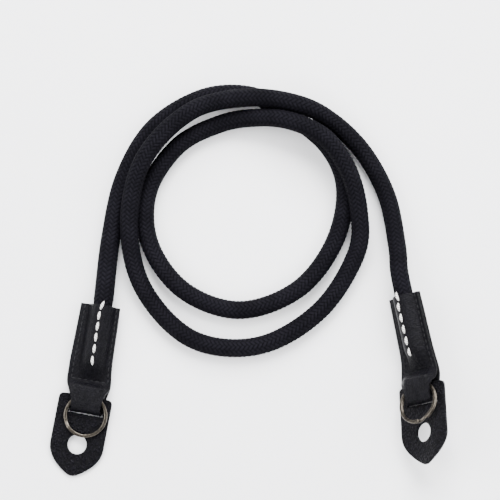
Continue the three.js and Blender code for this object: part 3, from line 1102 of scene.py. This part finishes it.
class STRAP_OT_flaps(bpy.types.Operator):
    """Make the two pierced leather flaps"""

    bl_idname = "strap.make_flaps"
    bl_label = "Make Flaps"

    def execute(self, context):
        sizes = context.scene.strap_leather
        look = {"pebble": 1.35, "crease": 0.12, "relief": 0.0012, "roughness": 0.3}
        material = leather_material("Flap leather", sizes.flap_dark, sizes.flap_light, **look)
        lit_cut_edge = lit_cut_edge_material()
        thickness = sizes.flap / MM
        for side, end in ENDS.items():
            flap = end["flap"]
            holes = [slit_outline(flap)[::-1], hole_outline()[::-1]]
            points, faces = plate(flap_outline(), holes, thickness, spacing=0.9)
            uv = vertex_uv(faces, points[:, :2] + points[:, 2:])
            lit_slit_faces = slit_wall(points, faces, flap)
            distance = -points[:, 1]
            wave = np.sin(math.tau * points[:, 0] / FLAP_WIDTH) * smoothstep(distance, 64, 74)
            sag = -0.25 * smoothstep(distance, 84, 97)
            points[:, 2] += thickness / 2 + flap["wave"] * wave + sag
            points = points + (flap["x"], FOLD + flap["shift"], 0)
            laid = lay_on_tab(points, end, (0, -FOLD, flap["height"]), flap["rise"])
            made = make_object(f"{side}_flap_leather", laid, faces, material, uv)
            # The slit's lower wall gets the lightened cut edge, a painted highlight.
            made.data.materials.append(lit_cut_edge)
            made.data.polygons.foreach_set("material_index", lit_slit_faces.astype(np.int32))
            turn_faces_outward(made)
            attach(made, "strap")
            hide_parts(f"{side}_flap")
        return {"FINISHED"}


# The split rings


def wire_section(width, height, corner):
    """Outline of a flat wire with round corners: outward, and up."""
    section = []
    for side, top, first in ((1, 1, 0), (-1, 1, 90), (-1, -1, 180), (1, -1, 270)):
        for turn in np.radians(np.linspace(first, first + 90, 4)):
            outward = side * (width / 2 - corner) + corner * math.cos(turn)
            section.append((outward, top * (height / 2 - corner) + corner * math.sin(turn)))
    return np.array(section)


class STRAP_OT_rings(bpy.types.Operator):
    """Make the two split rings"""

    bl_idname = "strap.make_rings"
    bl_label = "Make Split Rings"

    def execute(self, context):
        sizes = context.scene.strap_ring
        material = metal_material(sizes.dark, sizes.light)
        width, height = sizes.width / MM, sizes.height / MM
        radius = sizes.diameter / MM / 2 - width / 2
        coil_gap = 0.04
        section = wire_section(width, height / 2 - coil_gap, corner=0.4)
        ramp = math.radians(14)
        angle = np.linspace(ramp, 4 * math.pi - ramp, RING_ROWS)
        level = height / 4 * (2 * smoothstep(angle, math.tau - ramp, math.tau + ramp) - 1)
        for side, end in ENDS.items():
            ring = end["ring"]
            turned = angle + math.radians(ring["split"])
            outward = np.stack((np.cos(turned), np.sin(turned), np.zeros(len(turned))), 1)
            points = outward[:, None, :] * (radius + section[None, :, :1])
            points = points + np.array((0, 0, 1)) * (section[None, :, 1:] + level[:, None, None])
            rows, columns = points.shape[:2]
            faces = grid_faces(rows, columns, wrap=True).tolist()
            faces.append(list(range(columns))[::-1])
            faces.append([(rows - 1) * columns + k for k in range(columns)])
            place = (ring["x"], -ring["from"], ring["height"])
            laid = lay_on_tab(points.reshape(-1, 3), end, place, ring["rise"])
            made = make_object(f"{side}_split_ring", laid, faces, material)
            turn_faces_outward(made)
            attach(made, f"{side}_ring")
            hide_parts(f"{side}_ring")
        return {"FINISHED"}


# Stitches


def surface_point(end, x, distance):
    """A place on the upper layer's outer face in the end frame, from x across and the distance."""
    values = section_values(np.array([distance]), end["slack"])
    arch = float(values["arch"][0])
    outer = ARCH_RADIUS + LAYER / 2
    height = math.sqrt(max(outer**2 - x**2, 0)) + ROPE_AXIS - LAYER if abs(x) < outer else 0
    return np.array((x, -distance, LAYER + arch * max(height, 0) + float(values["lift"][0])))


def stitch_tree():
    """A tree that puts one stitch on each point, along the point's own direction."""
    tree, nodes, start, end = shape_tree("Stitches", ("Thickness", "Length", "Pointed"))
    half = nodes.times(start["Length"], 0.5)
    behind = nodes.run("ShaderNodeCombineXYZ", {"X": nodes.times(half, -1.0)})
    ahead = nodes.run("ShaderNodeCombineXYZ", {"X": half})
    line = nodes.run("GeometryNodeCurvePrimitiveLine", {"Start": behind, "End": ahead})
    line = nodes.run("GeometryNodeResampleCurve", {"Curve": line, "Count": STITCH_RINGS})
    place = nodes.run("GeometryNodeSplineParameter", output="Factor")
    centred = nodes.minus(nodes.times(place, 2.0), 1.0)
    pointed = nodes.maths("POWER", nodes.maths("ABSOLUTE", centred), start["Pointed"])
    full = nodes.maths("MAXIMUM", nodes.minus(1.0, pointed), 0.03)
    full = nodes.maths("POWER", full, 0.75)
    radius = nodes.times(nodes.times(full, start["Thickness"]), 0.5)
    arc = nodes.times(nodes.times(centred, centred), start["Thickness"])
    sink = nodes.run("ShaderNodeCombineXYZ", {"Z": nodes.times(arc, -0.75)})
    line = nodes.run("GeometryNodeSetPosition", {"Geometry": line, "Offset": sink})
    circle = {"Resolution": STITCH_SIDES, "Radius": 1.0}
    circle = nodes.run("GeometryNodeCurvePrimitiveCircle", circle)
    stitch = {"Curve": line, "Profile Curve": circle, "Scale": radius, "Fill Caps": True}
    stitch = nodes.run("GeometryNodeCurveToMesh", stitch)
    turn = nodes.run("FunctionNodeEulerToRotation", {0: nodes.read("turn", "FLOAT_VECTOR")})
    scatter = {"Points": start["Geometry"], "Instance": stitch, "Rotation": turn}
    finish_tree(nodes, nodes.run("GeometryNodeInstanceOnPoints", scatter), start, end)
    return tree


def sew(name, stitches, thickness, length, pointed, material):
    """One stitch at each centre, along a direction and out of a normal, as a plain mesh."""
    turns = []
    for _, direction, normal in stitches:
        x = Vector(direction).normalized()
        z = Vector(normal)
        z = (z - x * z.dot(x)).normalized()
        turns.append(tuple(Matrix((x, z.cross(x), z)).transposed().to_euler()))
    mesh = bpy.data.meshes.new(name + "_points")
    mesh.from_pydata([(stitch[0] * MM).tolist() for stitch in stitches], [], [])
    attribute = mesh.attributes.new("turn", "FLOAT_VECTOR", "POINT")
    attribute.data.foreach_set("vector", np.array(turns, np.float32).ravel())
    made = baked_object(name, mesh, stitch_tree(), {
        "Thickness": thickness * MM,
        "Length": length * MM,
        "Pointed": float(pointed),
        "Material": material,
    })
    run = np.arange(len(made.data.vertices)) // STITCH_SIDES % STITCH_RINGS / STITCH_RINGS
    give_corner_uv(made.data, tube_uv(made.data, STITCH_SIDES, 1, run[::STITCH_SIDES]))
    turn_faces_outward(made)
    return made


def place_stitches(end, spots, thickness):
    """The centre, direction and normal of each stitch, from its spot on the upper layer."""
    step, proud = 0.05, 0.22 * thickness
    stitches = []
    for x, distance, slant in spots:
        turn = math.radians(slant)
        over, on = step * math.sin(turn), step * math.cos(turn)
        here = surface_point(end, x, distance)
        ahead = surface_point(end, x + over, distance + on)
        beside = surface_point(end, x + on, distance - over)
        laid = lay_down(np.array((here, ahead, beside)), end)
        direction = laid[1] - laid[0]
        normal = np.cross(direction, laid[2] - laid[0])
        normal = normal / np.linalg.norm(normal)
        if normal @ (lay_down(here + (0, 0, 1), end) - laid[0]) < 0:
            normal = -normal
        stitches.append((laid[0] + normal * proud, direction, normal))
    return stitches


def seam_spots(pitch):
    """Spots of the black stitches: down both edges, and across where the two layers part."""
    spots = []
    for distance in np.arange(SEAM_START, SEAM_END, pitch):
        values = section_values(distance, 1)
        spots.append((SEAM_INSET[0] - float(values["left"]), distance, 0))
        spots.append((float(values["right"]) - SEAM_INSET[1], distance, 0))
    values = section_values(SEAM_END + 0.2, 1)
    start, stop = CROSS_INSET[0] - float(values["left"]), float(values["right"]) - CROSS_INSET[1]
    for x in np.arange(start, stop, pitch):
        spots.append((x, CROSS_SEAM, 90))
    return spots


class STRAP_OT_stitches(bpy.types.Operator):
    """Sew the white and the black stitches"""

    bl_idname = "strap.make_stitches"
    bl_label = "Make Stitches"

    def execute(self, context):
        sizes = context.scene.strap_stitch
        white = thread_material("White thread", sizes.white_dark, sizes.white_light)
        black = thread_material("Black thread", sizes.black_dark, sizes.black_light)
        thickness, length, pitch = sizes.thickness / MM, sizes.length / MM, sizes.edge_pitch / MM
        for side, end in ENDS.items():
            top = place_stitches(end, WHITE_STITCHES[side], thickness)
            seam = place_stitches(end, seam_spots(pitch), SEAM_THREAD)
            for made in (
                sew(f"{side}_white_stitches", top, thickness, length, 1.6, white),
                sew(f"{side}_black_stitches", seam, SEAM_THREAD, pitch * 0.8, 4, black),
            ):
                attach(made, "strap")
        return {"FINISHED"}


# Camera, light and table


def make_camera(scene):
    """Puts the camera where the photo was taken from."""
    data = bpy.data.cameras.new("camera")
    data.lens = LENS
    data.sensor_width = 36
    camera = bpy.data.objects.new("camera", data)
    scene.collection.objects.link(camera)
    tilt = math.radians(ELEVATION)
    back = Vector((0, -math.cos(tilt), math.sin(tilt)))
    camera.location = (Vector(TARGET) + back * DISTANCE) * MM
    camera.rotation_euler = (-back).to_track_quat("-Z", "Y").to_euler()
    scene.camera = camera


def make_light(scene, name, place, width, power):
    """A square light, turned to the middle of the strap."""
    data = bpy.data.lights.new(name, "AREA")
    data.size = width
    data.energy = power
    light = bpy.data.objects.new(name, data)
    light.location = place
    middle = Vector((0, 0.07, 0))
    direction = middle - Vector(place)
    light.rotation_euler = direction.to_track_quat("-Z", "Y").to_euler()
    scene.collection.objects.link(light)
    return light


class STRAP_OT_stage(bpy.types.Operator):
    """Make the camera, the table and the soft lights"""

    bl_idname = "strap.make_stage"
    bl_label = "Make Stage"

    def execute(self, context):
        scene, sizes = context.scene, context.scene.strap_stage
        make_camera(scene)
        half = sizes.table / MM / 2
        corners = [(-half, -half, 0), (half, -half, 0), (half, half, 0), (-half, half, 0)]
        table = make_object("table", corners, [(0, 1, 2, 3)], paper_material(), smooth=False)
        lights = [
            make_light(scene, "back_light", (0.1, 1.35, 1.25), 1.3, sizes.light),
            make_light(scene, "left_light", (-1.25, 0.1, 1.1), 1.2, sizes.light * 0.35),
            make_light(scene, "right_light", (1.25, 0.1, 1.1), 1.2, sizes.light * 0.35),
            make_light(scene, "front_light", (0, -1.2, 1.1), 1.2, sizes.light * 0.2),
        ]
        world = bpy.data.worlds.new("room")
        world.use_nodes = True
        background = world.node_tree.nodes["Background"]
        background.inputs["Color"].default_value = (0.93, 0.96, 1.0, 1)
        background.inputs["Strength"].default_value = 0.35
        scene.world = world
        return {"FINISHED"}


class STRAP_PT_panel(bpy.types.Panel):
    """The strap's pieces, one button each"""

    bl_label = "Rope Camera Strap"
    bl_idname = "STRAP_PT_panel"
    bl_space_type = "VIEW_3D"
    bl_region_type = "UI"
    bl_category = "Strap"

    def draw(self, context):
        layout = self.layout
        for name, group in GROUPS.items():
            column = layout.column()
            for item in group.__annotations__:
                column.prop(getattr(context.scene, name), item)
        for operator in OPERATORS:
            layout.operator(operator.bl_idname)


GROUPS = {
    "strap_rope": RopeSizes,
    "strap_leather": LeatherSizes,
    "strap_ring": RingSizes,
    "strap_stitch": StitchSizes,
    "strap_stage": StageSizes,
}
OPERATORS = (
    STRAP_OT_rope,
    STRAP_OT_sleeves,
    STRAP_OT_flaps,
    STRAP_OT_rings,
    STRAP_OT_stitches,
    STRAP_OT_stage,
)


def register():
    for name, group in GROUPS.items():
        bpy.utils.register_class(group)
        setattr(bpy.types.Scene, name, bpy.props.PointerProperty(type=group))
    for operator in OPERATORS:
        bpy.utils.register_class(operator)
    bpy.utils.register_class(STRAP_PT_panel)


def unregister():
    bpy.utils.unregister_class(STRAP_PT_panel)
    for operator in reversed(OPERATORS):
        bpy.utils.unregister_class(operator)
    for name, group in GROUPS.items():
        delattr(bpy.types.Scene, name)
        bpy.utils.unregister_class(group)


def main():
    register()
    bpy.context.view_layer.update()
    bpy.ops.strap.make_rope()
    bpy.ops.strap.make_sleeves()
    bpy.ops.strap.make_flaps()
    bpy.ops.strap.make_rings()
    bpy.ops.strap.make_stitches()
    bpy.ops.strap.make_stage()


if __name__ == "__main__":
    main()
